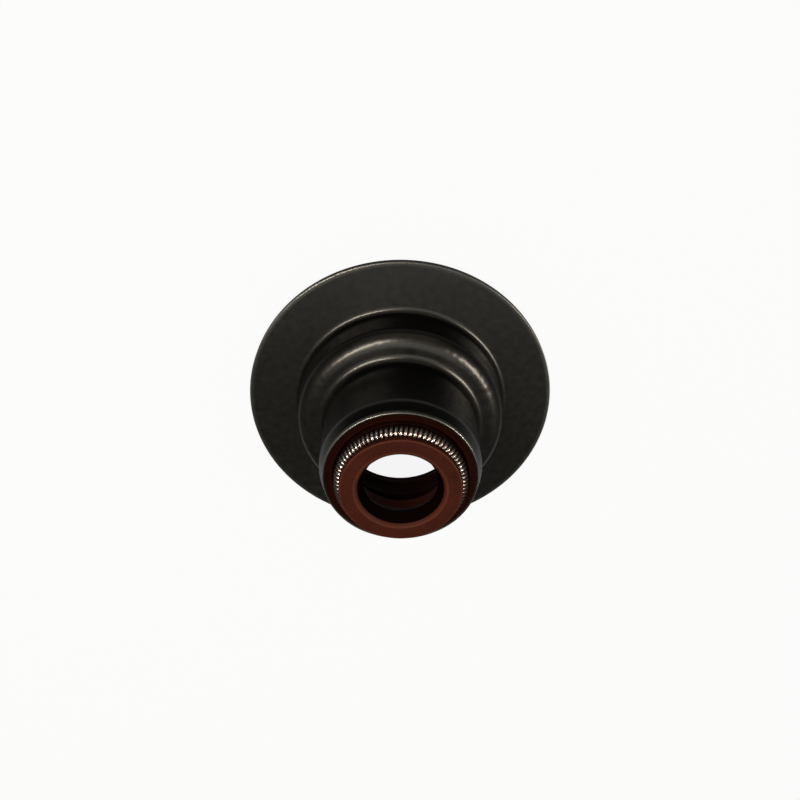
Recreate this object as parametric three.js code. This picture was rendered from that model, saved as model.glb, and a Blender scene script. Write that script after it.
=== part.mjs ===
// A valve stem seal whose steel case carries the seat that the valve spring stands on.
// Millimetres, +Z up. The origin is on the symmetry axis, in the plane that the flange stands on, and the
// narrow end with the sealing lip points up.

import * as THREE from "three";

// What the seal fits
const STEM_DIAMETER = 7.0;
const GUIDE_WALL = 2.5;

// Steel case, drawn from one sheet
const SHEET = 0.7;
const FLANGE_WIDTH = 5.3;
const DRUM_HEIGHT = 4.45;
const DRUM_DRAFT = 0.25;
const SHOULDER_WIDTH = 2.8;
const NECK_HEIGHT = 6.85;
const NECK_DRAFT = 0.1;
const MOUTH_HEIGHT = 1.46;
const MOUTH_INSET = 0.44;
const FOOT_FILLET = 0.7;
const SHOULDER_FILLET = 1.3;
const NECK_FILLET = 0.8;
const MOUTH_BEND = 1.4;
const BROKEN_EDGE = 0.1;

// Garter spring, close-wound wire bent into a ring
const WIRE_DIAMETER = 0.345;
const COIL_DIAMETER = 1.3;
const COIL_GAP = 0.01;
const SPRING_RISE = 0.49;

// Rubber seal, moulded into the case
const BOND = 0.02;
const LINING = 0.68;
const LEAD_IN = 0.87;
const LINING_END = 0.15;
const GRIP_BEADS = 3;
const GRIP_BEAD = 0.15;
const GRIP_BEAD_WIDTH = 0.9;
const STOP_FILLET = 0.2;
const END_WALL = 1.9;
const CHAMBER_CLEARANCE = 0.8;
const CHAMBER_CONE = 1.7;
const LIP_INTERFERENCE = 0.2;
const LIP_DROP = 0.05;
const LIP_SECTION = 1.34;
const FLARE_WIDTH = 0.48;
const BORE_CHAMFER_WIDTH = 0.31;
const BORE_CHAMFER_HEIGHT = 0.26;
const GROOVE_CLEARANCE = 0.03;
const GROOVE_LOWER_ANGLE = 75;
const HEAD_OVERHANG = 0.125;
const HEAD_RIM = 0.6;
const HEAD_EDGE = 0.17;
const MOAT_DEPTH = 0.56;
const COVER_SETBACK = 0.2;
const COVER_HEIGHT = 0.06;
const COVER_WIDTH = 0.13;

// Fineness of the round surfaces, and how much of a side the fillets at its ends may take up
const SEGMENTS = 40;
const ARC_STEP = 24;
const FILLETED_SHARE = 0.96;
const STEPS_PER_COIL = 7;
const WIRE_SIDES = 5;

// Radii of the case, from the guide outwards
const STEM_RADIUS = STEM_DIAMETER / 2;
const GUIDE_RADIUS = STEM_RADIUS + GUIDE_WALL;
const NECK_RADIUS = GUIDE_RADIUS + LINING + BOND + SHEET;
const DRUM_RADIUS = NECK_RADIUS + SHOULDER_WIDTH;
const FLANGE_RADIUS = DRUM_RADIUS + FLANGE_WIDTH;
const MOUTH_RADIUS = NECK_RADIUS - MOUTH_INSET;

// Levels of the case, from the flange's underside upwards
const SHOULDER_LEVEL = SHEET + DRUM_HEIGHT;
const BEND_LEVEL = SHOULDER_LEVEL + NECK_HEIGHT;
const MOUTH_LEVEL = BEND_LEVEL + MOUTH_HEIGHT;

// The spring's groove holds it round the lip
const COIL_RADIUS = COIL_DIAMETER / 2;
const GROOVE_RADIUS = COIL_RADIUS + GROOVE_CLEARANCE;
const LIP_RADIUS = STEM_RADIUS - LIP_INTERFERENCE;
const SPRING_RADIUS = LIP_RADIUS + LIP_SECTION + GROOVE_RADIUS;
const SPRING_LEVEL = MOUTH_LEVEL + SPRING_RISE;
const LIP_LEVEL = SPRING_LEVEL - LIP_DROP;

const degrees = THREE.MathUtils.degToRad;

// Corners [radius, level] of an arc, from one angle in degrees to another.
function arc(centreRadius, centreLevel, radius, from, to) {
  const steps = Math.ceil(Math.abs(to - from) / ARC_STEP);
  return Array.from({ length: steps + 1 }, (_, step) => {
    const angle = degrees(from + ((to - from) * step) / steps);
    return [centreRadius + radius * Math.cos(angle), centreLevel + radius * Math.sin(angle)];
  });
}

// The line of corners [radius, level, fillet] moved to its left, as the other side of a bent sheet lies.
// A fillet grows on the outside of its bend and shrinks on the inside.
function offsetLine(corners, distance) {
  const points = corners.map(([radius, level]) => new THREE.Vector2(radius, level));
  const normals = points.slice(1).map((point, index) => {
    const along = point.clone().sub(points[index]).normalize();
    return new THREE.Vector2(-along.y, along.x);
  });
  return corners.map(([radius, level, fillet = 0], index) => {
    const before = normals[Math.max(index - 1, 0)];
    const after = normals[Math.min(index, normals.length - 1)];
    const shift = before.clone().add(after).multiplyScalar(distance / (1 + before.dot(after)));
    const turnsLeft = before.cross(after) > 0;
    const moved = Math.max(fillet + (turnsLeft ? -distance : distance), 0);
    return [radius + shift.x, level + shift.y, fillet > 0 ? moved : 0];
  });
}

// The closed outline through corners [radius, level, fillet]. Each fillet is a true arc, and where a side is
// too short for the fillets at its two ends, they share it by their sizes.
function roundedOutline(corners) {
  const points = corners.map(([radius, level]) => new THREE.Vector2(radius, level));
  const outline = points.flatMap((corner, index) => {
    const fillet = corners[index][2] ?? 0;
    if (fillet === 0) return [corner];
    const next = (index + 1) % points.length;
    const back = points.at(index - 1).clone().sub(corner);
    const ahead = points[next].clone().sub(corner);
    const room = (side, [, , otherFillet = 0]) => (FILLETED_SHARE * side.length() * fillet) / (fillet + otherFillet);
    const longest = Math.min(room(back, corners.at(index - 1)), room(ahead, corners[next]));
    back.normalize();
    ahead.normalize();
    const halfAngle = Math.acos(THREE.MathUtils.clamp(back.dot(ahead), -1, 1)) / 2;
    const setback = Math.min(fillet / Math.tan(halfAngle), longest);
    const centre = back.clone().add(ahead).setLength(setback / Math.cos(halfAngle)).add(corner);
    const turn = Math.PI - 2 * halfAngle;
    const side = Math.sign(ahead.cross(back));
    const steps = Math.ceil(turn / degrees(ARC_STEP));
    const start = corner.clone().addScaledVector(back, setback);
    return Array.from({ length: steps + 1 }, (_, step) =>
      start.clone().rotateAround(centre, (side * turn * step) / steps),
    );
  });
  if (THREE.ShapeUtils.isClockWise(outline)) outline.reverse();
  return [...outline, outline[0].clone()];
}

// A ring-shaped solid: the outline turned about the upright axis.
function turnedSolid(name, corners, material) {
  const solid = new THREE.Mesh(new THREE.LatheGeometry(roundedOutline(corners), SEGMENTS), material);
  solid.name = name;
  solid.rotation.x = Math.PI / 2;
  return solid;
}

// The sheet's visible side, from the flange's rim to the mouth. Drum and neck widen towards their feet.
const CASE_FACE = [
  [FLANGE_RADIUS, SHEET],
  [DRUM_RADIUS + DRUM_DRAFT, SHEET, FOOT_FILLET],
  [DRUM_RADIUS, SHOULDER_LEVEL, SHOULDER_FILLET],
  [NECK_RADIUS + NECK_DRAFT, SHOULDER_LEVEL, NECK_FILLET],
  [NECK_RADIUS, BEND_LEVEL, MOUTH_BEND],
  [MOUTH_RADIUS, MOUTH_LEVEL],
];
const CASE_BACK = offsetLine(CASE_FACE, SHEET);

// Flange, drum, neck and coned mouth, all of one thickness, with their cut edges broken.
function steelCase() {
  const broken = ([radius, level, fillet = BROKEN_EDGE]) => [radius, level, fillet];
  const ends = (line) => line.map((corner, index) =>
    index === 0 || index === line.length - 1 ? broken(corner.slice(0, 2)) : corner,
  );
  return turnedSolid(
    "steel_case",
    [...ends(CASE_FACE), ...ends(CASE_BACK).reverse()],
    new THREE.MeshStandardMaterial({ color: "#23241f", roughness: 0.42, metalness: 0.85 }),
  );
}

// The lining's shallow beads, which grip the guide, evenly spaced between two levels.
function gripBeads(bottom, top) {
  const pitch = (top - bottom) / GRIP_BEADS;
  const crest = GUIDE_RADIUS - GRIP_BEAD;
  return Array.from({ length: GRIP_BEADS }, (_, bead) => {
    const middle = bottom + pitch * (bead + 0.5);
    return [
      [GUIDE_RADIUS, middle - GRIP_BEAD_WIDTH / 2],
      [crest, middle - GRIP_BEAD_WIDTH / 6],
      [crest, middle + GRIP_BEAD_WIDTH / 6],
      [GUIDE_RADIUS, middle + GRIP_BEAD_WIDTH / 2],
    ];
  }).flat();
}

// Lining, guide stop, lip, end flange, spring groove and the moat that lets the lip flex, in one moulding.
function rubberSeal() {
  const contact = offsetLine(CASE_BACK, BOND);
  const [, , , neckFoot, bend, mouthEnd] = contact;
  const footRadius = neckFoot[2];
  const lean = Math.atan2(neckFoot[0] - bend[0], bend[1] - neckFoot[1]);
  const footCentre = [neckFoot[0] + footRadius * Math.tan((Math.PI / 2 - lean) / 2), neckFoot[1] + footRadius];
  const footLevel = neckFoot[1] + LINING_END;
  const footAngle = THREE.MathUtils.radToDeg(Math.asin((footCentre[1] - footLevel) / footRadius));

  const leadInLevel = neckFoot[1] + LEAD_IN;
  const moatLevel = MOUTH_LEVEL - MOAT_DEPTH;
  const stopLevel = moatLevel - END_WALL;
  const chamberRadius = STEM_RADIUS + CHAMBER_CLEARANCE;
  const headRadius = SPRING_RADIUS + HEAD_OVERHANG;
  const grooveUpperAngle = THREE.MathUtils.radToDeg(Math.acos(HEAD_OVERHANG / GROOVE_RADIUS));
  const headTop = SPRING_LEVEL + GROOVE_RADIUS * Math.sin(degrees(grooveUpperAngle)) + HEAD_RIM;
  const flareRadius = LIP_RADIUS + FLARE_WIDTH;

  // The cover lies on the sheet's cut edge and leaves the outermost part of it bare
  const along = new THREE.Vector2(-MOUTH_INSET, MOUTH_HEIGHT).normalize();
  const across = new THREE.Vector2(-along.y, along.x);
  const onCutEdge = (depth, height) => [
    MOUTH_RADIUS + across.x * depth + along.x * height,
    MOUTH_LEVEL + across.y * depth + along.y * height,
  ];
  const ledgeRadius = mouthEnd[0] - COVER_WIDTH;
  const ledgeLevel = mouthEnd[1] + COVER_HEIGHT;

  const groove = arc(SPRING_RADIUS, SPRING_LEVEL, GROOVE_RADIUS, grooveUpperAngle, 360 - GROOVE_LOWER_ANGLE);
  const moatInner = groove.at(-1)[0];
  const moatOuter = (moatInner + ledgeRadius) / 2;

  return turnedSolid(
    "rubber_seal",
    [
      [GUIDE_RADIUS + leadInLevel - footLevel, footLevel],
      [GUIDE_RADIUS, leadInLevel],
      ...gripBeads(leadInLevel, stopLevel),
      [GUIDE_RADIUS, stopLevel, STOP_FILLET],
      [chamberRadius, stopLevel],
      [chamberRadius, LIP_LEVEL - CHAMBER_CONE],
      [LIP_RADIUS, LIP_LEVEL],
      [flareRadius, headTop - BORE_CHAMFER_HEIGHT],
      [flareRadius + BORE_CHAMFER_WIDTH, headTop],
      [headRadius, headTop, HEAD_EDGE],
      ...groove,
      [moatInner, moatLevel],
      [moatOuter, moatLevel],
      [ledgeRadius, ledgeLevel],
      onCutEdge(COVER_SETBACK, BOND + COVER_HEIGHT),
      onCutEdge(COVER_SETBACK, BOND),
      onCutEdge(SHEET + BOND, BOND),
      bend,
      ...arc(...footCentre, footRadius, 180 + THREE.MathUtils.radToDeg(lean), 180 + footAngle),
    ],
    new THREE.MeshStandardMaterial({ color: "#4c2419", roughness: 0.6, metalness: 0 }),
  );
}

// The wire's centre line: a helix whose axis is bent into a ring, with whole turns so that it closes.
class GarterCoil extends THREE.Curve {
  constructor(ringRadius, windingRadius, coils) {
    super();
    this.ringRadius = ringRadius;
    this.windingRadius = windingRadius;
    this.coils = coils;
    this.arcLengthDivisions = coils * STEPS_PER_COIL * 4;
  }

  getPoint(share, target = new THREE.Vector3()) {
    const round = 2 * Math.PI * share;
    const winding = round * this.coils;
    const radius = this.ringRadius + this.windingRadius * Math.cos(winding);
    return target.set(
      radius * Math.cos(round),
      radius * Math.sin(round),
      this.windingRadius * Math.sin(winding),
    );
  }
}

// As many coils as lie side by side round the inside of the ring, where they all but touch.
function garterSpring() {
  const windingRadius = (COIL_DIAMETER - WIRE_DIAMETER) / 2;
  const innermost = 2 * Math.PI * (SPRING_RADIUS - windingRadius);
  const coils = Math.floor(innermost / (WIRE_DIAMETER + COIL_GAP));
  const line = new GarterCoil(SPRING_RADIUS, windingRadius, coils);
  const spring = new THREE.Mesh(
    new THREE.TubeGeometry(line, coils * STEPS_PER_COIL, WIRE_DIAMETER / 2, WIRE_SIDES, true),
    new THREE.MeshStandardMaterial({ color: "#a9a49b", roughness: 0.35, metalness: 0.9 }),
  );
  spring.name = "garter_spring";
  spring.position.z = SPRING_LEVEL;
  return spring;
}

const seal = new THREE.Group();
seal.add(steelCase(), rubberSeal(), garterSpring());

export default seal;
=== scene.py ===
"""Looks of a valve stem seal: a phosphated steel case, a moulded rubber lip and a garter spring.

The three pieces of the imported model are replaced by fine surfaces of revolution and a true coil, dressed
with procedural finishes. The seal's sizes are in millimetres here, and the meshes and the studio in metres.
"""

import logging
import math
from dataclasses import dataclass, field, replace
from enum import Enum
from typing import Any, Optional, Sequence

import bpy
import numpy as np
from mathutils import Matrix, Vector


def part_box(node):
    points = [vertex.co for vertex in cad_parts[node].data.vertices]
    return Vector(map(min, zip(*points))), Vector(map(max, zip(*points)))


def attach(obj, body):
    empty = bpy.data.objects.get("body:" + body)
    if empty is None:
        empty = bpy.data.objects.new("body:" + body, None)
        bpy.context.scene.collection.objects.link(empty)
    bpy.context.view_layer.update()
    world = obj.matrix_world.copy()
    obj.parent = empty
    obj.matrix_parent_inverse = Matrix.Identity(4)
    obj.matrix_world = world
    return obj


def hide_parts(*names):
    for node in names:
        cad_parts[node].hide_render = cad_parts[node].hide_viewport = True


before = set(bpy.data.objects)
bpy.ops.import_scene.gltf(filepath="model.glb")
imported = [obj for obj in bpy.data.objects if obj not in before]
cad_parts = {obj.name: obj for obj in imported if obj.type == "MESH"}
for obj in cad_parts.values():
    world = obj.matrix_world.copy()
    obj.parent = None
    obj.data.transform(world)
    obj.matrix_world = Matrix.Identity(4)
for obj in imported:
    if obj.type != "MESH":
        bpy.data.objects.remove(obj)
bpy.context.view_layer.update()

MM = 0.001
WHITE = (1.0, 1.0, 1.0, 1.0)

# The fillet of a corner that names none, how much of a side the fillets at its two ends may take up, and
# the length below which a fillet counts as none
BROKEN_EDGE = 0.03
FILLETED_SHARE = 0.94
SHARP = 1e-6
# How far beyond a fillet the next point lies: a share of the fillet's reach, and at least so many mm
SUPPORT_SHARE = 0.3
SUPPORT_LEAST = 0.01
# Where most values of a cloud pattern lie, and the strength of each finer octave against the last
CLOUD_LOW = 0.3
CLOUD_HIGH = 0.7
OCTAVE_SHARE = 0.55
# What makes a Mix node blend numbers or colours, and where its mixed colour comes out
NUMBERS = {"data_type": "FLOAT"}
COLOURS = {"data_type": "RGBA"}
MIXED_COLOUR = 2

log = logging.getLogger("valve_stem_seal")

Array = np.ndarray


class Slot(str, Enum):
    """The record's material slots."""

    CASE = "case_steel"
    RUBBER = "seal_rubber"
    SPRING = "spring_steel"


class Space(str, Enum):
    """What a pattern is laid out on."""

    OBJECT = "Object"
    SURFACE = "UV"


class Lights(str, Enum):
    """What a lamp is seen by, apart from the camera, which sees none."""

    ALL = "all"
    GLOSS = "gloss"


def hex_to_linear(code: str, alpha: float = 1.0) -> tuple[float, float, float, float]:
    """Turns an sRGB hex colour into linear light.

    Args:
        code: six hex digits after a hash sign.
        alpha: opacity, passed through.

    Returns:
        Red, green, blue and alpha.
    """
    srgb = np.array([int(code[i : i + 2], 16) for i in (1, 3, 5)]) / 255
    linear = np.where(srgb <= 0.04045, srgb / 12.92, ((srgb + 0.055) / 1.055) ** 2.4)
    return (*(float(value) for value in linear), alpha)


@dataclass(frozen=True)
class Corner:
    """A corner of a profile: its radius and level in millimetres, and the fillet that rounds it."""

    radius: float
    level: float
    fillet: float = BROKEN_EDGE


def offset_line(corners: Sequence[Corner], distance: float) -> list[Corner]:
    """Moves a line of corners to its left, as the other side of a bent sheet lies.

    Each corner moves along the mean of its two sides' normals, by the distance over the cosine of half the
    turn. A fillet grows by the distance on the outside of its bend, and on the inside it shrinks, though
    not below that of a broken edge.

    Args:
        corners: the line, with at least two corners.
        distance: how far it moves, in millimetres.

    Returns:
        The moved corners, in the same order.
    """
    points = np.array([(corner.radius, corner.level) for corner in corners])
    along = np.diff(points, axis=0)
    along /= np.linalg.norm(along, axis=1, keepdims=True)
    normals = np.column_stack([-along[:, 1], along[:, 0]])
    before = np.vstack([normals[:1], normals])
    after = np.vstack([normals, normals[-1:]])
    shift = (before + after) * distance / (1 + np.sum(before * after, axis=1, keepdims=True))
    turn = np.sign(before[:, 0] * after[:, 1] - before[:, 1] * after[:, 0])
    fillets = np.array([corner.fillet for corner in corners]) - turn * distance
    return [
        Corner(*point, max(fillet, BROKEN_EDGE))
        for point, fillet in zip(points + shift, fillets)
    ]


def rounded_outline(corners: Sequence[Corner], spacing: float, arc_step: float = 9.0) -> Array:
    """Makes a closed outline whose corners are true arcs and whose sides are cut into short lengths.

    An arc's centre lies on the bisector of its corner. Where a side is too short for the fillets at its two
    ends, they share it by their sizes. Each arc has a point on the side just before it and just after it,
    which keeps the shading of the flat sides flat. A corner without a fillet stays a single point.

    Args:
        corners: the outline's corners, in order.
        spacing: the longest step along a side, in millimetres.
        arc_step: the largest turn between two points of an arc, in degrees.

    Returns:
        An array of (radius, level) points in millimetres. The last point joins the first.
    """
    points = np.array([(corner.radius, corner.level) for corner in corners])
    back = np.roll(points, 1, axis=0) - points
    ahead = np.roll(points, -1, axis=0) - points
    fillets = np.array([max(corner.fillet, SHARP) for corner in corners])
    room_back = np.linalg.norm(back, axis=1) * fillets / (fillets + np.roll(fillets, 1))
    room_ahead = np.linalg.norm(ahead, axis=1) * fillets / (fillets + np.roll(fillets, -1))
    reach = FILLETED_SHARE * np.minimum(room_back, room_ahead)
    back /= np.linalg.norm(back, axis=1, keepdims=True)
    ahead /= np.linalg.norm(ahead, axis=1, keepdims=True)
    half = np.arccos(np.clip(np.sum(back * ahead, axis=1), -1, 1)) / 2
    setback = np.minimum(fillets / np.tan(half), reach)
    pieces = []
    for corner, before, after, opening, cut, room in zip(points, back, ahead, half, setback, reach):
        radius = cut * math.tan(opening)
        if radius < 2 * SHARP:
            pieces.append(corner[None])
            continue
        bisector = (before + after) / max(np.linalg.norm(before + after), SHARP)
        centre = corner + bisector * cut / math.cos(opening)
        turn = math.pi - 2 * opening
        count = max(int(math.ceil(math.degrees(turn) / arc_step)), 1)
        angles = np.linspace(-turn / 2, turn / 2, count + 1)
        across = np.array([-bisector[1], bisector[0]])
        across *= np.sign(np.dot(across, after)) or 1
        arc = centre - radius * (np.cos(angles)[:, None] * bisector - np.sin(angles)[:, None] * across)
        support = cut + min(SUPPORT_SHARE * cut + SUPPORT_LEAST, (room - cut + SUPPORT_LEAST) / 2)
        pieces.append(np.vstack([corner + before * support, arc, corner + after * support]))
    rough = np.vstack(pieces)
    following = np.roll(rough, -1, axis=0)
    counts = np.ceil(np.linalg.norm(following - rough, axis=1) / spacing).astype(int)
    return np.vstack(
        [
            start + (end - start) * np.linspace(0, 1, max(count, 1), endpoint=False)[:, None]
            for start, end, count in zip(rough, following, counts)
        ]
    )


def circle_corners(
    centre: tuple[float, float], radius: float, start: float, end: float, count: int
) -> list[Corner]:
    """Corners on an arc, for a stretch of a profile that is round.

    Args:
        centre: radius and level of the arc's centre, in millimetres.
        radius: the arc's own radius, in millimetres.
        start: first angle, in degrees, from the outward direction towards up.
        end: last angle.
        count: how many corners.

    Returns:
        The corners, without fillets.
    """
    angles = np.radians(np.linspace(start, end, count))
    return [
        Corner(centre[0] + radius * math.cos(angle), centre[1] + radius * math.sin(angle), 0.0)
        for angle in angles
    ]


@dataclass
class Grid:
    """A closed surface on a grid of two parameters, both of which run round and meet themselves.

    Attributes:
        points: array of shape (rows, columns, 3) in metres.
        across: one value per row and one more for the closing row, the pattern's second coordinate.
        along: one value per column and one more for the closing column, its first coordinate.
        marks: named arrays of shape (rows, columns), kept as point attributes.
    """

    points: Array
    across: Array
    along: Array
    marks: dict[str, Array] = field(default_factory=dict)

    def object(self, name: str) -> bpy.types.Object:
        """Builds the mesh object, with faces outwards, a UV map and the marks.

        Args:
            name: the object's and the mesh's name.

        Returns:
            The object, linked to the scene and standing at the origin.
        """
        rows, columns, _ = self.points.shape
        row, column = np.meshgrid(np.arange(rows), np.arange(columns), indexing="ij")
        next_row, next_column = (row + 1) % rows, (column + 1) % columns
        faces = np.stack(
            [
                row * columns + column,
                row * columns + next_column,
                next_row * columns + next_column,
                next_row * columns + column,
            ],
            axis=-1,
        ).reshape(-1, 4)
        mesh = bpy.data.meshes.new(name)
        mesh.from_pydata(self.points.reshape(-1, 3), [], faces)
        u = np.stack([self.along[c] for c in (column, column + 1, column + 1, column)], axis=-1)
        v = np.stack([self.across[r] for r in (row, row, row + 1, row + 1)], axis=-1)
        mesh.uv_layers.new(name="UVMap").uv.foreach_set(
            "vector", np.stack([u, v], axis=-1).astype(np.float32).ravel()
        )
        for mark, values in self.marks.items():
            attribute = mesh.attributes.new(mark, "FLOAT", "POINT")
            attribute.data.foreach_set("value", values.astype(np.float32).ravel())
        mesh.shade_smooth()
        mesh.update()
        made = bpy.data.objects.new(name, mesh)
        bpy.context.scene.collection.objects.link(made)
        return made


@dataclass
class TurnedSurface:
    """A closed outline turned about the upright axis.

    A point of the outline at radius r and level z goes to (r cos t, r sin t, z) at each angle t. A relief,
    a height in millimetres for each point of the grid, is added along the outline's normal.
    """

    outline: Array
    turns: int = 360

    def lengths(self) -> Array:
        """Distance along the outline at each point and at the closing point, in millimetres."""
        steps = np.linalg.norm(np.roll(self.outline, -1, axis=0) - self.outline, axis=1)
        return np.concatenate([[0], np.cumsum(steps)])

    def doubled_area(self) -> float:
        """Twice the area inside the outline, negative where the outline runs clockwise."""
        x, y = self.outline.T
        return np.sum(x * np.roll(y, -1) - np.roll(x, -1) * y)

    def normals(self) -> Array:
        """Unit normals of the outline, pointing out of the solid."""
        tangent = np.roll(self.outline, -1, axis=0) - np.roll(self.outline, 1, axis=0)
        tangent /= np.linalg.norm(tangent, axis=1, keepdims=True)
        return np.column_stack([tangent[:, 1], -tangent[:, 0]]) * np.sign(self.doubled_area())

    def angles(self) -> Array:
        """The angles of the grid's columns, from +X towards +Y."""
        return np.linspace(0, 2 * np.pi, self.turns, endpoint=False)

    def grid(self, relief: Optional[Array] = None, marks: Optional[dict[str, Array]] = None) -> Grid:
        """Turns the outline.

        Args:
            relief: heights in millimetres, of shape (outline points, turns).
            marks: values to keep on the mesh, each of that shape.

        Returns:
            The grid, whose faces point out of the solid. Its pattern coordinates are millimetres along the
            outline, and turns round the axis.
        """
        profile = np.repeat(self.outline[:, None, :], self.turns, axis=1)
        if relief is not None:
            profile = profile + relief[..., None] * self.normals()[:, None, :]
        angle = self.angles()
        points = np.stack(
            [profile[..., 0] * np.cos(angle), profile[..., 0] * np.sin(angle), profile[..., 1]], axis=-1
        )
        grid = Grid(points * MM, self.lengths(), np.linspace(0, 1, self.turns + 1), dict(marks or {}))
        if self.doubled_area() < 0:
            grid.points = grid.points[::-1]
            grid.across = grid.across[::-1]
            grid.marks = {name: values[::-1] for name, values in grid.marks.items()}
        return grid


def bell(values: Array, centre: float, width: float) -> Array:
    """A bell curve of height one: e to the minus square of the distance over the width."""
    return np.exp(-(((values - centre) / width) ** 2))


def bearing_off(angles: Array, centre: float) -> Array:
    """How far angles lie from a bearing in degrees, the short way round."""
    return (np.degrees(angles) - centre + 180) % 360 - 180


@dataclass(frozen=True)
class Patch:
    """A stretch round the axis: its middle and its half-width in degrees, and its strength."""

    bearing: float
    spread: float
    strength: float

    def along(self, angles: Array) -> Array:
        """A bell curve of that strength over the angles."""
        return self.strength * bell(bearing_off(angles, self.bearing), 0, self.spread)


@dataclass(frozen=True)
class Ring:
    """A band round the axis: its radius and level on the section, and how far it fades along each."""

    radius: float
    level: float
    radius_spread: float
    level_spread: float

    def on(self, outline: Array) -> Array:
        """One value per point of the outline, one in the band's middle and none away from it."""
        radius, level = outline.T
        return bell(radius, self.radius, self.radius_spread) * bell(level, self.level, self.level_spread)


def waves(angles: Array, lengths: Array, seed: int, count: int, turns: float, span: float) -> Array:
    """Gentle unevenness: a sum of waves that run round the axis and along the outline.

    Each wave is a sine of a whole number of turns times the angle, plus a share of the length, with a
    seeded phase. The sum is scaled to a root mean square of about one.

    Args:
        angles: angles of the columns.
        lengths: distance along the outline of each row, in millimetres.
        seed: seed of the phases.
        count: how many waves.
        turns: the largest number of waves round the axis, three times the smallest.
        span: the shortest wave along the outline, in millimetres.

    Returns:
        Heights of shape (rows, columns).
    """
    rng = np.random.default_rng(seed)
    total = np.zeros((len(lengths), len(angles)))
    for _ in range(count):
        order = rng.integers(max(int(turns / 3), 1), int(turns) + 1)
        pitch = rng.uniform(-1, 1) * 2 * np.pi / span
        phase = rng.uniform(0, 2 * np.pi)
        total += np.sin(order * angles[None, :] + pitch * lengths[:, None] + phase)
    return total / math.sqrt(count / 2)


def node(
    tree: bpy.types.NodeTree,
    kind: str,
    settings: Optional[dict[str, Any]] = None,
    inputs: Optional[dict[Any, Any]] = None,
) -> bpy.types.Node:
    """Adds a node with its settings and links.

    Args:
        tree: the node tree.
        kind: the node's type name.
        settings: properties of the node.
        inputs: socket name or number to a value, or to an output socket to link from.

    Returns:
        The node.
    """
    made = tree.nodes.new(kind)
    for name, value in (settings or {}).items():
        setattr(made, name, value)
    for socket, value in (inputs or {}).items():
        if isinstance(value, bpy.types.NodeSocket):
            tree.links.new(value, made.inputs[socket])
        else:
            made.inputs[socket].default_value = value
    return made


def new_material(name: str) -> tuple[bpy.types.Material, bpy.types.NodeTree, bpy.types.Node]:
    """Makes an empty material.

    Args:
        name: the material's name.

    Returns:
        The material, its tree and its surface shader.
    """
    material = bpy.data.materials.new(name)
    material.use_nodes = True
    tree = material.node_tree
    tree.nodes.clear()
    shader = node(tree, "ShaderNodeBsdfPrincipled")
    node(tree, "ShaderNodeOutputMaterial", inputs={"Surface": shader.outputs[0]})
    return material, tree, shader


def clouds(
    tree: bpy.types.NodeTree, space: Space, scale: Sequence[float], detail: float
) -> bpy.types.NodeSocket:
    """A cloud pattern: noise on scaled coordinates.

    Args:
        tree: the node tree.
        space: what the pattern is laid out on.
        scale: clouds per unit of each of its coordinates.
        detail: octaves of finer clouds.

    Returns:
        The socket with values around one half.
    """
    place = node(tree, "ShaderNodeTexCoord").outputs[space.value]
    scaled = node(tree, "ShaderNodeMapping", inputs={"Vector": place, "Scale": tuple(scale)})
    inputs = {"Vector": scaled.outputs[0], "Scale": 1.0, "Detail": detail, "Roughness": OCTAVE_SHARE}
    return node(tree, "ShaderNodeTexNoise", inputs=inputs).outputs["Fac"]


def solid_clouds(tree: bpy.types.NodeTree, size: float, detail: float) -> bpy.types.NodeSocket:
    """A cloud pattern through the piece's solid, with clouds of a size in millimetres."""
    return clouds(tree, Space.OBJECT, [1 / (size * MM)] * 3, detail)


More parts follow.
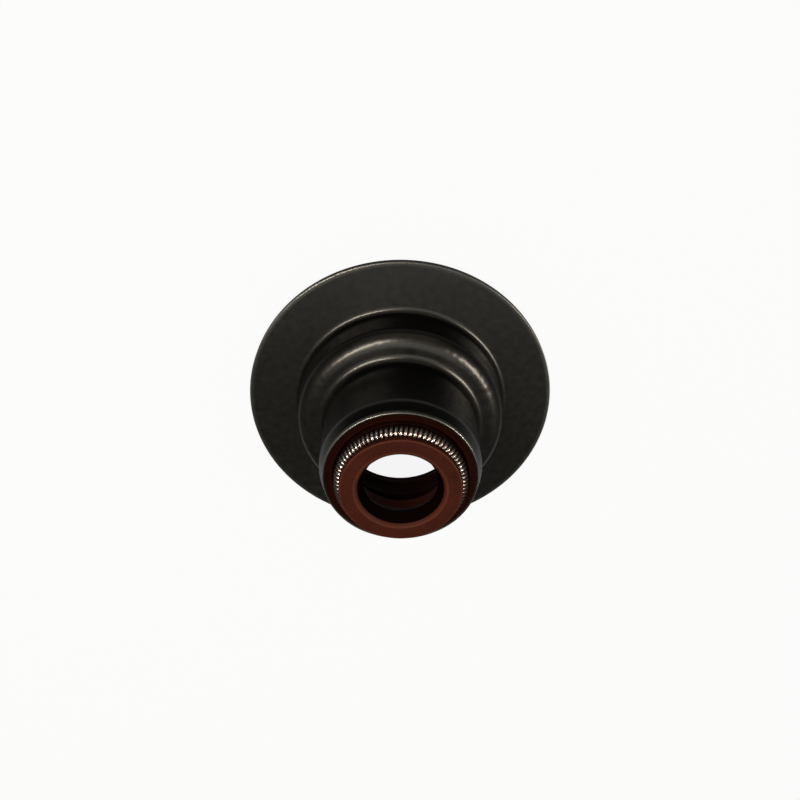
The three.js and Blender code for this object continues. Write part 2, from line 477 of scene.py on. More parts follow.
@dataclass(frozen=True)
class PhosphatedSteel:
    """Deep-drawn sheet steel with a manganese phosphate skin soaked in oil.

    The skin is nearly black with an olive cast and fine crystals, and the oil lets it shine softly. Where
    edges rub, the bare steel shows through as a thin bright line; the same bare colour is also laid on as
    painted highlight. The steep walls get painted shade: a near-black colour, less gloss and less oil.

    Lengths are in millimetres. A phosphate crystal is about 0.02 across and a drawing mark some hundredths
    wide, both too fine for the render, so they are drawn as coarse as crystal and mark_width say.
    """

    dark: str = "#0e0b06"
    olive: str = "#191711"
    # The near-black third colour is painted shade for the steep walls.
    painted_wall_shade: str = "#040403"
    # The bare colour shows real wear, and also painted highlight where the wear mark places it.
    bare_and_glint: str = "#a5a39c"
    ior: float = 1.40
    gloss: float = 0.22
    # The walls' lower gloss, and their lower oil coat below, are part of their painted shade.
    wall_shade_gloss: float = 0.04
    sheen_low: float = 0.38
    sheen_high: float = 0.58
    bare_roughness: float = 0.28
    oil: float = 0.85
    wall_shade_oil: float = 0.3
    oil_roughness: float = 0.27
    mottle: float = 0.7
    crystal: float = 0.11
    mark_width: float = 0.35
    mark_length: float = 6.0
    crystal_depth: float = 0.004
    crystal_share: float = 0.5
    bare_between: tuple[float, float] = (0.35, 0.6)
    bare_least: float = 0.45

    def material(self, girth: float) -> bpy.types.Material:
        """Builds the node material.

        Args:
            girth: length round the piece, in millimetres, at which the drawing marks have their width.

        Returns:
            The material. It reads two attributes: bare steel, from real wear and painted highlight, and
                painted shade on the walls.
        """
        material, tree, shader = new_material("manganese_phosphated_steel")
        mottle = solid_clouds(tree, self.mottle, 4.0)
        crystals = solid_clouds(tree, self.crystal, 2.0)
        marks = clouds(tree, Space.SURFACE, [girth / self.mark_width, 1 / self.mark_length, 1.0], 2.0)
        wear_and_glint = node(tree, "ShaderNodeAttribute", {"attribute_name": "wear_and_glint"}).outputs["Fac"]
        wall_shade = node(tree, "ShaderNodeAttribute", {"attribute_name": "wall_shade"}).outputs["Fac"]

        mottled = {"Value": mottle, 1: CLOUD_LOW, 2: CLOUD_HIGH, 3: 0.0, 4: 1.0}
        olive_share = node(tree, "ShaderNodeMapRange", inputs=mottled).outputs[0]
        flat = {0: olive_share, 6: hex_to_linear(self.dark), 7: hex_to_linear(self.olive)}
        flat_skin = node(tree, "ShaderNodeMix", COLOURS, flat).outputs[MIXED_COLOUR]
        # Painted shade: the steep walls are mixed towards the near-black colour.
        shaded_skin = {0: wall_shade, 6: flat_skin, 7: hex_to_linear(self.painted_wall_shade)}
        skin = node(tree, "ShaderNodeMix", COLOURS, shaded_skin).outputs[MIXED_COLOUR]
        low, high = self.bare_between
        between = {"Value": crystals, 1: low, 2: high, 3: self.bare_least, 4: 1.0}
        patches = node(tree, "ShaderNodeMapRange", inputs=between).outputs[0]
        patchy = node(tree, "ShaderNodeMath", {"operation": "MULTIPLY"}, {0: wear_and_glint, 1: patches}).outputs[0]
        # Bare steel, from real wear and from painted highlight.
        rubbed_and_glinting = {0: patchy, 6: skin, 7: hex_to_linear(self.bare_and_glint)}
        colour = node(tree, "ShaderNodeMix", COLOURS, rubbed_and_glinting).outputs[MIXED_COLOUR]
        tree.links.new(colour, shader.inputs["Base Color"])
        tree.links.new(patchy, shader.inputs["Metallic"])
        shader.inputs["IOR"].default_value = self.ior
        # Less gloss and less oil coat on the walls, as painted shade.
        gloss_in_shade = {"Value": wall_shade, 1: 0.0, 2: 1.0, 3: self.gloss, 4: self.wall_shade_gloss}
        gloss = node(tree, "ShaderNodeMapRange", inputs=gloss_in_shade).outputs[0]
        tree.links.new(gloss, shader.inputs["Specular IOR Level"])
        oil_in_shade = {"Value": wall_shade, 1: 0.0, 2: 1.0, 3: self.oil, 4: self.wall_shade_oil}
        oil = node(tree, "ShaderNodeMapRange", inputs=oil_in_shade).outputs[0]
        tree.links.new(oil, shader.inputs["Coat Weight"])
        shader.inputs["Coat Roughness"].default_value = self.oil_roughness
        shader.inputs["Coat IOR"].default_value = self.ior
        uneven = {"Value": mottle, 1: CLOUD_LOW, 2: CLOUD_HIGH, 3: self.sheen_low, 4: self.sheen_high}
        sheen = node(tree, "ShaderNodeMapRange", inputs=uneven).outputs[0]
        smoother = {0: patchy, 2: sheen, 3: self.bare_roughness}
        roughness = node(tree, "ShaderNodeMix", NUMBERS, smoother).outputs[0]
        tree.links.new(roughness, shader.inputs["Roughness"])

        drawn = node(tree, "ShaderNodeMath", {"operation": "MULTIPLY"}, {0: marks, 1: wall_shade}).outputs[0]
        summed = {0: crystals, 1: self.crystal_share, 2: drawn}
        height = node(tree, "ShaderNodeMath", {"operation": "MULTIPLY_ADD"}, summed).outputs[0]
        relief = {"Height": height, "Distance": self.crystal_depth * MM, "Strength": 1.0}
        bump = node(tree, "ShaderNodeBump", inputs=relief)
        tree.links.new(bump.outputs[0], shader.inputs["Normal"])
        return material


@dataclass(frozen=True)
class MouldedFluoroRubber:
    """Brown fluoro-rubber from a steel mould: an even satin skin with faint clouds and fine specks.

    Lengths are in millimetres. The mould's own grain is some hundredths wide, too fine for the render, so it
    is drawn as coarse as grain says.
    """

    deep: str = "#3c1104"
    warm: str = "#481706"
    # The speck colour also serves as painted highlight along the edges.
    speck_and_highlight: str = "#743c26"
    # The near-black brown, and the lower gloss below, are painted shade in the hollows: the moat and the
    # bore.
    hollow_shade_colour: str = "#0e0201"
    ior: float = 1.3
    gloss: float = 0.2
    hollow_shade_gloss: float = 0.03
    roughness_low: float = 0.58
    roughness_high: float = 0.74
    cloud: float = 2.6
    grain: float = 0.16
    grain_depth: float = 0.006
    speck_between: tuple[float, float] = (0.6, 0.75)
    speck_share: float = 0.35

    def material(self) -> bpy.types.Material:
        """Builds the node material.

        Returns:
            The material. It reads two attributes, painted highlight on the edges and painted shade in
            hollows.
        """
        material, tree, shader = new_material("moulded_fluoro_rubber")
        haze = solid_clouds(tree, self.cloud, 3.0)
        grain = solid_clouds(tree, self.grain, 2.0)
        edge_highlight = node(tree, "ShaderNodeAttribute", {"attribute_name": "edge_highlight"}).outputs["Fac"]
        oil = node(tree, "ShaderNodeAttribute", {"attribute_name": "oil"}).outputs["Fac"]

        hazy = {"Value": haze, 1: CLOUD_LOW, 2: CLOUD_HIGH, 3: 0.0, 4: 1.0}
        warm_share = node(tree, "ShaderNodeMapRange", inputs=hazy).outputs[0]
        plain = {0: warm_share, 6: hex_to_linear(self.deep), 7: hex_to_linear(self.warm)}
        body = node(tree, "ShaderNodeMix", COLOURS, plain).outputs[MIXED_COLOUR]
        low, high = self.speck_between
        between = {"Value": grain, 1: low, 2: high, 3: 0.0, 4: self.speck_share}
        specks = node(tree, "ShaderNodeMapRange", inputs=between).outputs[0]
        # Specks, and painted highlight along the edges, take the speck colour.
        light = node(tree, "ShaderNodeMath", {"operation": "MAXIMUM"}, {0: specks, 1: edge_highlight}).outputs[0]
        specked = {0: light, 6: body, 7: hex_to_linear(self.speck_and_highlight)}
        unshaded_colour = node(tree, "ShaderNodeMix", COLOURS, specked).outputs[MIXED_COLOUR]
        # Painted shade: the moat and the bore are mixed towards the near-black brown, with less gloss.
        shaded_hollows = {0: oil, 6: unshaded_colour, 7: hex_to_linear(self.hollow_shade_colour)}
        colour = node(tree, "ShaderNodeMix", COLOURS, shaded_hollows).outputs[MIXED_COLOUR]
        tree.links.new(colour, shader.inputs["Base Color"])
        shader.inputs["IOR"].default_value = self.ior
        gloss_in_shade = {"Value": oil, 1: 0.0, 2: 1.0, 3: self.gloss, 4: self.hollow_shade_gloss}
        gloss = node(tree, "ShaderNodeMapRange", inputs=gloss_in_shade).outputs[0]
        tree.links.new(gloss, shader.inputs["Specular IOR Level"])
        uneven = {"Value": haze, 1: CLOUD_LOW, 2: CLOUD_HIGH, 3: self.roughness_low, 4: self.roughness_high}
        roughness = node(tree, "ShaderNodeMapRange", inputs=uneven).outputs[0]
        tree.links.new(roughness, shader.inputs["Roughness"])
        relief = {"Height": grain, "Distance": self.grain_depth * MM, "Strength": 1.0}
        bump = node(tree, "ShaderNodeBump", inputs=relief)
        tree.links.new(bump.outputs[0], shader.inputs["Normal"])
        return material


@dataclass(frozen=True)
class DrawnSpringWire:
    """Cold-drawn spring steel: bright, and darker where oil has dried on it, in stains of a size in mm."""

    bright: str = "#a9a29f"
    stained: str = "#7d7270"
    roughness_low: float = 0.2
    roughness_high: float = 0.36
    stain: float = 1.2
    stain_between: tuple[float, float] = (0.4, 0.65)

    def material(self) -> bpy.types.Material:
        """Builds the node material.

        Returns:
            The material.
        """
        material, tree, shader = new_material("drawn_spring_steel")
        stains = solid_clouds(tree, self.stain, 3.0)
        low, high = self.stain_between
        darker = {"Value": stains, 1: low, 2: high, 3: 0.0, 4: 1.0}
        share = node(tree, "ShaderNodeMapRange", inputs=darker).outputs[0]
        stained = {0: share, 6: hex_to_linear(self.bright), 7: hex_to_linear(self.stained)}
        colour = node(tree, "ShaderNodeMix", COLOURS, stained).outputs[MIXED_COLOUR]
        tree.links.new(colour, shader.inputs["Base Color"])
        shader.inputs["Metallic"].default_value = 1.0
        rougher = {"Value": stains, 1: low, 2: high, 3: self.roughness_low, 4: self.roughness_high}
        roughness = node(tree, "ShaderNodeMapRange", inputs=rougher).outputs[0]
        tree.links.new(roughness, shader.inputs["Roughness"])
        return material


@dataclass
class Fits:
    """Sizes in millimetres that the pieces share. Levels start at the flange's underside."""

    sheet: float = 0.7
    guide_radius: float = 6.0
    stem_radius: float = 3.5
    flange_radius: float = 15.5
    drum_radius: float = 10.2
    drum_draft: float = 0.25
    neck_radius: float = 7.4
    neck_draft: float = 0.1
    mouth_radius: float = 6.96
    shoulder_level: float = 5.15
    bend_level: float = 12.0
    mouth_level: float = 13.46
    spring_radius: float = 5.32
    spring_level: float = 13.95
    coil_radius: float = 0.65
    top: float = 15.22
    foot_fillet: float = 0.6
    shoulder_fillet: float = 1.55
    neck_fillet: float = 0.8
    mouth_bend: float = 1.4

    def face(self) -> list[Corner]:
        """The sheet's visible side, from the flange's rim to the mouth. Drum and neck widen downwards.

        Returns:
            Its corners.
        """
        return [
            Corner(self.flange_radius, self.sheet),
            Corner(self.drum_radius + self.drum_draft, self.sheet, self.foot_fillet),
            Corner(self.drum_radius, self.shoulder_level, self.shoulder_fillet),
            Corner(self.neck_radius + self.neck_draft, self.shoulder_level, self.neck_fillet),
            Corner(self.neck_radius, self.bend_level, self.mouth_bend),
            Corner(self.mouth_radius, self.mouth_level),
        ]

    def back(self) -> list[Corner]:
        """The sheet's hidden side, one thickness away."""
        return offset_line(self.face(), self.sheet)


@dataclass
class SteelCase:
    """Flange, drum, neck and coned mouth, drawn from one sheet.

    Bare steel shows along the flange's edge and the mouth's edge as real wear. The patches named here, and
    the faint rings along the bend below the mouth and round the drum's brow, are painted highlight in the
    bare colour. The steep walls get painted shade. Lengths are in millimetres.
    """

    fits: Fits
    finish: PhosphatedSteel = PhosphatedSteel()
    rim_edge: float = 0.12
    mouth_edge: float = 0.09
    spacing: float = 0.3

    # Bare steel on the edges: the least values are real wear; the patches, and the faint rings along the
    # bend and round the drum's brow, are painted highlight.
    rim_wear_and_glint: float = 0.75
    rim_least: float = 0.3
    rim_glint_patches: tuple[Patch, ...] = (Patch(122, 32, 0.7), Patch(20, 40, 0.35))
    mouth_wear_and_glint: float = 0.9
    mouth_least: float = 0.4
    mouth_glint_patches: tuple[Patch, ...] = (Patch(118, 24, 0.6), Patch(42, 18, 0.6))
    bend_glint: float = 0.13
    bend_inset: float = 0.03
    brow_glint: float = 0.05
    brow_inset: float = 0.06
    brow_drop: float = 1.05
    outward_least: float = -0.2

    # Painted shade on the walls: where the sheet counts as steep, and the bearing, half-width and fade of
    # the front where it is darkest; side_shade is its share elsewhere.
    steep_from: float = 0.6
    steep_at: float = 0.95
    front_bearing: float = 90.0
    front_half: float = 46.0
    front_fade: float = 5.0
    side_shade: float = 0.3

    unevenness: float = 0.004
    peel: float = 0.004
    peel_inset: float = 0.6
    peel_patch: Patch = Patch(38, 26, 0.004)
    true_rim: float = 0.4
    true_foot: float = 0.3

    def outline(self) -> Array:
        """The sheet's section, with its cut edges broken.

        Returns:
            Its points, as rounded_outline gives them.
        """
        face, back = self.fits.face(), self.fits.back()
        rims = [replace(side[0], fillet=self.rim_edge) for side in (face, back)]
        mouths = [replace(side[-1], fillet=self.mouth_edge) for side in (face, back)]
        corners = [rims[0], *face[1:-1], *mouths, *back[-2:0:-1], rims[1]]
        return rounded_outline(corners, self.spacing)

    def wear_and_glint(self, surface: TurnedSurface) -> Array:
        """How much bare steel shows: real wear along the edges, and painted highlight in the patches and
        rings.

        Args:
            surface: the outline, with its turns.

        Returns:
            One value from none to one for each point of the grid.
        """
        fits, outline, angles = self.fits, surface.outline, surface.angles()
        outside = surface.normals()[:, 0] > self.outward_least
        rim = Ring(fits.flange_radius, fits.sheet, radius_spread=0.16, level_spread=0.1)
        mouth = Ring(fits.mouth_radius, fits.mouth_level, radius_spread=0.12, level_spread=0.1)
        bend_radius = fits.neck_radius - self.bend_inset
        bend = Ring(bend_radius, fits.bend_level, radius_spread=0.06, level_spread=0.16)
        brow_radius = fits.drum_radius - self.brow_inset
        brow_level = fits.shoulder_level - self.brow_drop
        brow = Ring(brow_radius, brow_level, radius_spread=0.06, level_spread=0.18)
        # The patches and the bend and brow rings are painted highlight; the least values are real wear.
        rim_rub_and_glint = self.rim_least + sum(patch.along(angles) for patch in self.rim_glint_patches)
        mouth_rub_and_glint = self.mouth_least + sum(patch.along(angles) for patch in self.mouth_glint_patches)
        worn_and_glinting = self.rim_wear_and_glint * np.outer(rim.on(outline), rim_rub_and_glint)
        worn_and_glinting += self.mouth_wear_and_glint * np.outer(mouth.on(outline) * outside, mouth_rub_and_glint)
        faint_glint = self.bend_glint * bend.on(outline) + self.brow_glint * brow.on(outline)
        worn_and_glinting += (faint_glint * outside)[:, None]
        return np.clip(worn_and_glinting, 0, 1)

    def wall_shade(self, surface: TurnedSurface) -> Array:
        """Painted shade on the steep walls, darkest on the front.

        Args:
            surface: the outline, with its turns.

        Returns:
            Painted shade at each point of the grid: one on the front of the walls, less on their other
                sides.
        """
        radial = np.abs(surface.normals()[:, 0])
        steep = np.clip((radial - self.steep_from) / (self.steep_at - self.steep_from), 0, 1)
        off_front = np.abs(bearing_off(surface.angles(), self.front_bearing))
        front = 1 / (1 + np.exp((off_front - self.front_half) / self.front_fade))
        return np.outer(steep, self.side_shade + (1 - self.side_shade) * front)

    def relief(self, surface: TurnedSurface) -> Array:
        """Gentle unevenness of the sheet, and a fine orange peel on the stretched shoulder.

        The flange's rim and underside stay true.

        Args:
            surface: the outline, with its turns.

        Returns:
            Heights in millimetres for each point of the grid.
        """
        fits = self.fits
        radius, level = surface.outline.T
        angles, lengths = surface.angles(), surface.lengths()[:-1]
        uneven = self.unevenness * waves(angles, lengths, seed=3, count=12, turns=9, span=6.0)
        crown_radius = fits.drum_radius - self.peel_inset
        crown = Ring(crown_radius, fits.shoulder_level, radius_spread=0.9, level_spread=0.7)
        depth = np.outer(crown.on(surface.outline), self.peel + self.peel_patch.along(angles))
        uneven += depth * waves(angles, lengths, seed=5, count=28, turns=90, span=0.7)
        inside = (radius < fits.flange_radius - self.true_rim) & (level > self.true_foot)
        return uneven * inside[:, None]

    def build(self) -> bpy.types.Object:
        """Builds and dresses the case.

        Returns:
            The object.
        """
        surface = TurnedSurface(self.outline())
        # Marks: bare steel from real wear and painted highlight, and painted shade on the walls.
        marks = {"wear_and_glint": self.wear_and_glint(surface), "wall_shade": self.wall_shade(surface)}
        made = surface.grid(self.relief(surface), marks).object("case_shell")
        made.data.materials.append(self.finish.material(2 * math.pi * self.fits.neck_radius))
        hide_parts("steel_case")
        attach(made, "root")
        return made


@dataclass
class RubberSeal:
    """Lining, guide stop, lip, end flange, spring groove and the moat that lets the lip flex.

    Lengths are in millimetres and angles in degrees.
    """

    fits: Fits
    finish: MouldedFluoroRubber = MouldedFluoroRubber()
    bond: float = 0.02
    lip_interference: float = 0.2
    lip_level: float = 13.9
    flare_radius: float = 3.78
    flare_level: float = 14.96
    mouth_radius: float = 4.09
    head_radius: float = 5.445
    groove_clearance: float = 0.03
    groove_end: float = 285.0
    groove_corners: int = 24
    moat_level: float = 12.9
    stop_level: float = 11.0
    chamber_radius: float = 4.3
    chamber_level: float = 12.2
    lead_in_level: float = 5.3
    foot_level: float = 4.58
    foot_corners: int = 7
    beads: int = 3
    bead_height: float = 0.15
    bead_width: float = 0.9
    bead_foot_fillet: float = 0.3
    bead_crest_fillet: float = 0.2
    cover_setback: float = 0.2
    cover_height: float = 0.06
    cover_width: float = 0.13
    rim_band: float = 0.15
    spacing: float = 0.55
    arc_step: float = 13.0

    # How far and how strongly painted highlight runs along the end face's rims and the ledge.
    face_depth: float = 0.05
    mouth_rim_share: float = 0.5
    mouth_rim_fade: float = 0.07
    head_rim_share: float = 0.55
    head_rim_inset: float = 0.05
    head_rim_fade: float = 0.1
    ledge_share: float = 0.3
    ledge_drop: float = 0.12
    ledge_radius: float = 6.15
    # How strong the painted shade is in the moat, and how far past the flare it starts in the bore.
    moat_shade: float = 0.75
    shade_past_flare: float = 0.1
    unevenness: float = 0.003
    true_top: float = 0.12

    def bead_corners(self) -> list[Corner]:
        """The lining's grip beads, evenly spaced, each with a crest a third as wide as its foot.

        Returns:
            Their corners, from the lowest up.
        """
        fits = self.fits
        pitch = (self.stop_level - self.lead_in_level) / self.beads
        middles = self.lead_in_level + pitch * (np.arange(self.beads) + 0.5)
        crest = fits.guide_radius - self.bead_height
        half = self.bead_width / 2
        return [
            corner
            for middle in middles
            for corner in (
                Corner(fits.guide_radius, middle - half, self.bead_foot_fillet),
                Corner(crest, middle - half / 3, self.bead_crest_fillet),
                Corner(crest, middle + half / 3, self.bead_crest_fillet),
                Corner(fits.guide_radius, middle + half, self.bead_foot_fillet),
            )
        ]

    def outline(self) -> Array:
        """The moulding's section.

        Returns:
            Its points, as rounded_outline gives them.
        """
        fits = self.fits
        contact = offset_line(fits.back(), self.bond)
        foot, bend, end = contact[3], contact[4], contact[5]
        lean = math.atan2(foot.radius - bend.radius, bend.level - foot.level)
        beside = foot.fillet * math.tan((math.pi / 2 - lean) / 2)
        centre = (foot.radius + beside, foot.level + foot.fillet)
        start_angle = 180 + math.degrees(lean)
        foot_angle = 180 + math.degrees(math.asin((centre[1] - self.foot_level) / foot.fillet))

        sheet_end = np.array([fits.mouth_radius, fits.mouth_level])
        along = sheet_end - np.array([fits.neck_radius, fits.bend_level])
        along /= np.linalg.norm(along)
        across = np.array([-along[1], along[0]])

        def on_cut_edge(depth: float, height: float, fillet: float) -> Corner:
            """A corner at a depth into the sheet from its visible side, and a height above its cut edge."""
            return Corner(*(sheet_end + across * depth + along * height), fillet)

        groove_radius = fits.coil_radius + self.groove_clearance
        upper = math.degrees(math.acos((self.head_radius - fits.spring_radius) / groove_radius))
        ring_centre = (fits.spring_radius, fits.spring_level)
        groove = circle_corners(ring_centre, groove_radius, upper, self.groove_end, self.groove_corners)
        moat_inner = groove[-1].radius
        ledge = (end.radius - self.cover_width, end.level + self.cover_height)
        corners = [
            Corner(fits.guide_radius + self.lead_in_level - self.foot_level, self.foot_level, 0.06),
            Corner(fits.guide_radius, self.lead_in_level, 0.15),
            *self.bead_corners(),
            Corner(fits.guide_radius, self.stop_level, 0.2),
            Corner(self.chamber_radius, self.stop_level, 0.12),
            Corner(self.chamber_radius, self.chamber_level, 0.5),
            Corner(fits.stem_radius - self.lip_interference, self.lip_level, 0.05),
            Corner(self.flare_radius, self.flare_level, 0.12),
            Corner(self.mouth_radius, fits.top, 0.05),
            Corner(self.mouth_radius + self.rim_band, fits.top, 0.0),
            Corner(self.head_radius - 2 * self.rim_band, fits.top, 0.0),
            Corner(self.head_radius, fits.top, 0.17),
            *groove,
            Corner(moat_inner, self.moat_level, 0.15),
            Corner((moat_inner + ledge[0]) / 2, self.moat_level, 0.15),
            Corner(*ledge, 0.06),
            on_cut_edge(self.cover_setback, self.bond + self.cover_height, 0.03),
            on_cut_edge(self.cover_setback, self.bond, 0.01),
            on_cut_edge(fits.sheet + self.bond, self.bond, 0.02),
            bend,
            *circle_corners(centre, foot.fillet, start_angle, foot_angle, self.foot_corners),
        ]
        return rounded_outline(corners, self.spacing, self.arc_step)

    def edge_highlight(self, surface: TurnedSurface) -> Array:
        """Painted highlight along the moulding's edges: round the end face and along the ledge.

        Args:
            surface: the outline, with its turns.

        Returns:
            One value from none to one for each point of the grid.
        """
        fits = self.fits
        radius, level = surface.outline.T
        top = level > fits.top - self.face_depth
        rims = self.mouth_rim_share * bell(radius, self.mouth_radius, self.mouth_rim_fade) * top
        head_rim = bell(radius, self.head_radius - self.head_rim_inset, self.head_rim_fade)
        rims += self.head_rim_share * head_rim * top
        ledge_level = fits.mouth_level - self.ledge_drop
        ledge = Ring(self.ledge_radius, ledge_level, radius_spread=0.08, level_spread=0.05)
        pale = np.clip(rims + self.ledge_share * ledge.on(surface.outline), 0, 1)
        return np.repeat(pale[:, None], surface.turns, axis=1)

    def oil(self, surface: TurnedSurface) -> Array:
        """Painted shade in the hollows: in the moat, and wholly inside the bore.

        Args:
            surface: the outline, with its turns.

        Returns:
            One value from none to one for each point of the grid.
        """
        fits = self.fits
        radius, level = surface.outline.T
        moat = (radius > fits.spring_radius) & (level < fits.spring_level)
        bore = (radius < self.flare_radius + self.shade_past_flare) & (level < self.flare_level)
        return np.repeat((self.moat_shade * moat + bore)[:, None], surface.turns, axis=1)

    def relief(self, surface: TurnedSurface) -> Array:
        """Gentle unevenness of the lip and the groove's floor. The end face and the lining stay true.

        Args:
            surface: the outline, with its turns.

        Returns:
            Heights in millimetres for each point of the grid.
        """
        fits = self.fits
        radius, level = surface.outline.T
        uneven = waves(surface.angles(), surface.lengths()[:-1], seed=11, count=10, turns=14, span=3.0)
        upper = (level > self.stop_level) & (level < fits.top - self.true_top)
        free = upper & (radius < fits.spring_radius)
        return self.unevenness * uneven * free[:, None]

    def build(self) -> bpy.types.Object:
        """Builds and dresses the moulding.

        Returns:
            The object.
        """
        surface = TurnedSurface(self.outline())
        # Marks: painted highlight along the edges, and painted shade in the moat and the bore.
        marks = {"edge_highlight": self.edge_highlight(surface), "oil": self.oil(surface)}
        made = surface.grid(self.relief(surface), marks).object("rubber_moulding")
        made.data.materials.append(self.finish.material())
        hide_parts("rubber_seal")
        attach(made, "root")
        return made


@dataclass
class GarterSpring:
    """Close-wound wire bent into a ring, with as many coils as lie side by side round its inside."""

    fits: Fits
    finish: DrawnSpringWire = DrawnSpringWire()
    wire: float = 0.345
    gap: float = 0.01
    steps_per_coil: int = 28
    sides: int = 14

    def coils(self) -> int:
        """How many whole coils fit."""
        innermost = self.fits.spring_radius - (self.fits.coil_radius - self.wire / 2)
        return int(2 * math.pi * innermost // (self.wire + self.gap))

    def grid(self) -> Grid:
        """The wire's surface: a circle carried along a helix whose own axis is a ring.

        At angle t round the ring, the winding angle w is the number of coils times t. The wire's centre is
        the ring's centre line plus the winding radius times (cos w outwards, sin w up). The section's first
        direction is that same one, and its second is the cross product with the helix's tangent.

        Returns:
            The grid, with the section along its rows and the helix along its columns.
        """
        coils = self.coils()
        count = coils * self.steps_per_coil
        turn = np.linspace(0, 2 * np.pi, count, endpoint=False)
        winding = turn * coils
        reach = self.fits.coil_radius - self.wire / 2
        outward = np.stack([np.cos(turn), np.sin(turn), 0 * turn], axis=-1)
        onward = np.stack([-np.sin(turn), np.cos(turn), 0 * turn], axis=-1)
        up = np.array([0.0, 0.0, 1.0])
        cosine, sine = np.cos(winding)[:, None], np.sin(winding)[:, None]
        spoke = cosine * outward + sine * up
        radius = self.fits.spring_radius + reach * cosine
        centre = self.fits.spring_radius * outward + reach * spoke + self.fits.spring_level * up
        tangent = radius * onward + reach * coils * (cosine * up - sine * outward)
        tangent /= np.linalg.norm(tangent, axis=1, keepdims=True)
        side = np.cross(tangent, spoke)
        side /= np.linalg.norm(side, axis=1, keepdims=True)
        spoke = np.cross(side, tangent)
        section = np.linspace(0, 2 * np.pi, self.sides, endpoint=False)
        ring = (
            np.cos(section)[:, None, None] * spoke[None] + np.sin(section)[:, None, None] * side[None]
        ) * (self.wire / 2)
        points = (centre[None] + ring) * MM
        return Grid(points, np.linspace(0, 1, self.sides + 1), np.linspace(0, coils, count + 1))

    def build(self) -> bpy.types.Object:
        """Builds and dresses the spring.

        Returns:
            The object.
        """
        made = self.grid().object("garter_coil")
        made.data.materials.append(self.finish.material())
        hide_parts("garter_spring")
        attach(made, "root")
        return made


@dataclass(frozen=True)
class Lamp:
    """A soft rectangular light, aimed at the seal.

    Attributes:
        name: the lamp's name.
        azimuth: where it stands round the axis, in degrees from +X towards +Y.
        elevation: how high it stands, in degrees.
        distance: from the seal, in metres.
        width: its longer or level side, in metres.
        height: its other side, in metres.
        power: in watts.
        lights: what sees it.
        colour: of its light.
    """

    name: str
    azimuth: float
    elevation: float
    distance: float
    width: float
    height: float
    power: float
    lights: Lights = Lights.ALL
    colour: str = "#fff0dc"

    def build(self, target: Vector) -> None:
        """Adds the lamp.

        Args:
            target: the point that it faces.
        """
        data = bpy.data.lights.new(self.name, "AREA")
        data.shape = "RECTANGLE"
        data.size, data.size_y = self.width, self.height
        data.energy = self.power
        data.color = hex_to_linear(self.colour)[:3]
        lamp = bpy.data.objects.new(self.name, data)
        azimuth, elevation = math.radians(self.azimuth), math.radians(self.elevation)
        away = Vector(
            (
                math.cos(elevation) * math.cos(azimuth),
                math.cos(elevation) * math.sin(azimuth),
                math.sin(elevation),
            )
        )
        lamp.location = target + away * self.distance
        lamp.rotation_euler = away.to_track_quat("Z", "Y").to_euler()
        lamp.visible_camera = False
        lamp.visible_diffuse = self.lights is Lights.ALL
        bpy.context.scene.collection.objects.link(lamp)


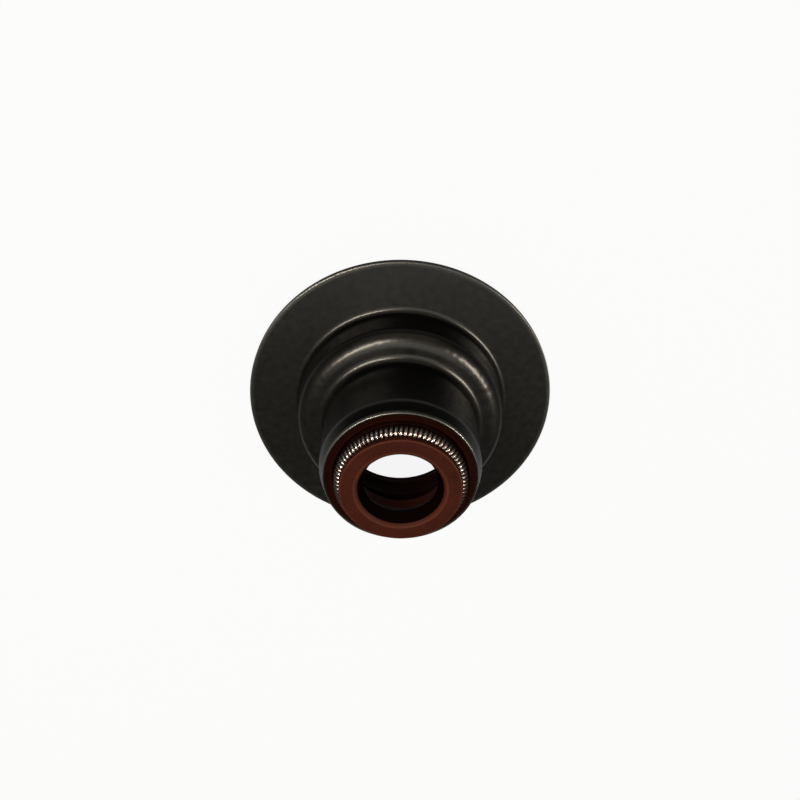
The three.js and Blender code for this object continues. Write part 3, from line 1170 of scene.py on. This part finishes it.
@dataclass
class Studio:
    """Pale floor, soft lamps and the camera. Lengths are in metres and angles in degrees.

    The floor and the surround look white to the camera. Gloss sees the floor bright near the seal and dark
    further off, as the photographed seal mirrors its surroundings.
    """

    target: Vector
    floor_size: float = 3.0
    floor_colour: str = "#f4f4f2"
    floor_bounce: str = "#3c3c3a"
    glow_to_camera: float = 0.9
    glow_close_by: float = 0.32
    glow_further_off: float = 0.03
    bright_radius: float = 0.022
    dim_radius: float = 0.028
    sky_to_camera: float = 1.0
    sky_to_gloss: float = 0.06
    sky: float = 0.48
    lamps: tuple[Lamp, ...] = (
        Lamp("lamp_left", azimuth=133, elevation=57, distance=0.30, width=0.18, height=0.03, power=0.22),
        Lamp(
            "strip_left", azimuth=133, elevation=57, distance=0.31,
            width=0.18, height=0.04, power=0.85, lights=Lights.GLOSS,
        ),
        Lamp(
            "strip_right", azimuth=6, elevation=46, distance=0.30,
            width=0.12, height=0.06, power=0.75, lights=Lights.GLOSS,
        ),
        Lamp(
            "card_front", azimuth=90, elevation=12, distance=0.30,
            width=0.40, height=0.12, power=0.1, lights=Lights.GLOSS,
        ),
        Lamp(
            "lamp_above", azimuth=90, elevation=88, distance=0.35,
            width=0.24, height=0.24, power=0.26, colour="#f4f6ea",
        ),
    )
    camera_elevation: float = 58.493
    camera_distance: float = 0.07544
    camera_tilt: float = 0.3444
    camera_roll: float = -0.447
    focal_length: float = 32.69
    sensor: float = 36.0
    nearest: float = 0.002

    def by_ray(
        self, tree: bpy.types.NodeTree, camera: float, gloss: Any, other: float
    ) -> bpy.types.NodeSocket:
        """A strength that depends on what kind of ray sees the background.

        Args:
            tree: the node tree.
            camera: strength for rays from the camera.
            gloss: strength for rays off gloss or through clear matter, a number or a socket.
            other: strength for the rays that light matt surfaces.

        Returns:
            The socket with the strength.
        """
        path = node(tree, "ShaderNodeLightPath")
        clear = path.outputs["Is Transmission Ray"]
        either = {0: path.outputs["Is Glossy Ray"], 1: clear}
        polished = node(tree, "ShaderNodeMath", {"operation": "MAXIMUM"}, either).outputs[0]
        unseen = node(tree, "ShaderNodeMix", NUMBERS, {0: polished, 2: other, 3: gloss}).outputs[0]
        seen = {0: path.outputs["Is Camera Ray"], 2: unseen, 3: camera}
        return node(tree, "ShaderNodeMix", NUMBERS, seen).outputs[0]

    def build_world(self) -> None:
        """A white surround that lights the seal at a plain level."""
        world = bpy.data.worlds.new("white_studio")
        bpy.context.scene.world = world
        world.use_nodes = True
        tree = world.node_tree
        tree.nodes.clear()
        strength = self.by_ray(tree, self.sky_to_camera, self.sky_to_gloss, self.sky)
        light = node(tree, "ShaderNodeBackground", inputs={"Color": WHITE, "Strength": strength})
        node(tree, "ShaderNodeOutputWorld", inputs={"Surface": light.outputs[0]})

    def build_floor(self) -> None:
        """A pale floor that looks white, keeps a soft shadow and fades in what gloss mirrors of it."""
        half = self.floor_size / 2
        corners = [(-half, -half, 0), (half, -half, 0), (half, half, 0), (-half, half, 0)]
        mesh = bpy.data.meshes.new("floor")
        mesh.from_pydata(corners, [], [(0, 1, 2, 3)])
        floor = bpy.data.objects.new("floor", mesh)
        bpy.context.scene.collection.objects.link(floor)
        material = bpy.data.materials.new("white_paper")
        material.use_nodes = True
        tree = material.node_tree
        tree.nodes.clear()
        seen = node(tree, "ShaderNodeLightPath").outputs["Is Camera Ray"]
        either = {0: seen, 6: hex_to_linear(self.floor_bounce), 7: hex_to_linear(self.floor_colour)}
        colour = node(tree, "ShaderNodeMix", COLOURS, either).outputs[MIXED_COLOUR]
        matt = node(tree, "ShaderNodeBsdfDiffuse", inputs={"Color": colour})
        glow = node(tree, "ShaderNodeEmission", inputs={"Color": WHITE, "Strength": 1.0})
        place = node(tree, "ShaderNodeTexCoord").outputs["Object"]
        off = node(tree, "ShaderNodeVectorMath", {"operation": "LENGTH"}, {0: place}).outputs["Value"]
        limits = {1: self.bright_radius, 2: self.dim_radius, 3: self.glow_close_by, 4: self.glow_further_off}
        fading = node(tree, "ShaderNodeMapRange", inputs={"Value": off, **limits}).outputs[0]
        share = self.by_ray(tree, self.glow_to_camera, fading, 0.0)
        mixed = node(tree, "ShaderNodeMixShader", inputs={0: share, 1: matt.outputs[0], 2: glow.outputs[0]})
        node(tree, "ShaderNodeOutputMaterial", inputs={"Surface": mixed.outputs[0]})
        mesh.materials.append(material)

    def build_camera(self, flange_top: Vector) -> None:
        """The camera looks down at the flange's middle, turned over so that the narrow end points down.

        Args:
            flange_top: the middle of the flange's top face.
        """
        elevation = math.radians(self.camera_elevation)
        away = Vector((0, math.cos(elevation), math.sin(elevation)))
        right = Vector((1, 0, 0))
        up = right.cross(-away)
        tilt = math.radians(self.camera_tilt)
        forward = -away * math.cos(tilt) + up * math.sin(tilt)
        up = right.cross(forward)
        roll = math.radians(self.camera_roll)
        rolled_right = right * math.cos(roll) + up * math.sin(roll)
        rolled_up = up * math.cos(roll) - right * math.sin(roll)
        data = bpy.data.cameras.new("camera")
        data.sensor_width = self.sensor
        data.lens = self.focal_length
        data.clip_start = self.nearest
        camera = bpy.data.objects.new("camera", data)
        axes = Matrix((rolled_right, rolled_up, -forward)).transposed().to_4x4()
        camera.matrix_world = Matrix.Translation(flange_top + away * self.camera_distance) @ axes
        bpy.context.scene.collection.objects.link(camera)
        bpy.context.scene.camera = camera

    def build(self, flange_top: Vector) -> None:
        """Builds the whole studio.

        Args:
            flange_top: the middle of the flange's top face.
        """
        self.build_camera(flange_top)
        self.build_world()
        self.build_floor()
        for lamp in self.lamps:
            lamp.build(self.target)
        bpy.context.scene.view_settings.view_transform = "Standard"


def main() -> None:
    """Builds the seal and the studio around it."""
    logging.basicConfig(level=logging.INFO)
    low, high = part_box("steel_case")
    fits = Fits(flange_radius=(high.x - low.x) / 2 / MM, top=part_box("rubber_seal")[1].z / MM)
    for assembly in (SteelCase(fits), RubberSeal(fits), GarterSpring(fits)):
        piece = assembly.build()
        log.info("%s has %d faces", piece.name, len(piece.data.polygons))
    flange_top = Vector((0, 0, fits.sheet * MM))
    Studio(target=Vector((0, 0, fits.shoulder_level * MM))).build(flange_top)


if __name__ == "__main__":
    main()
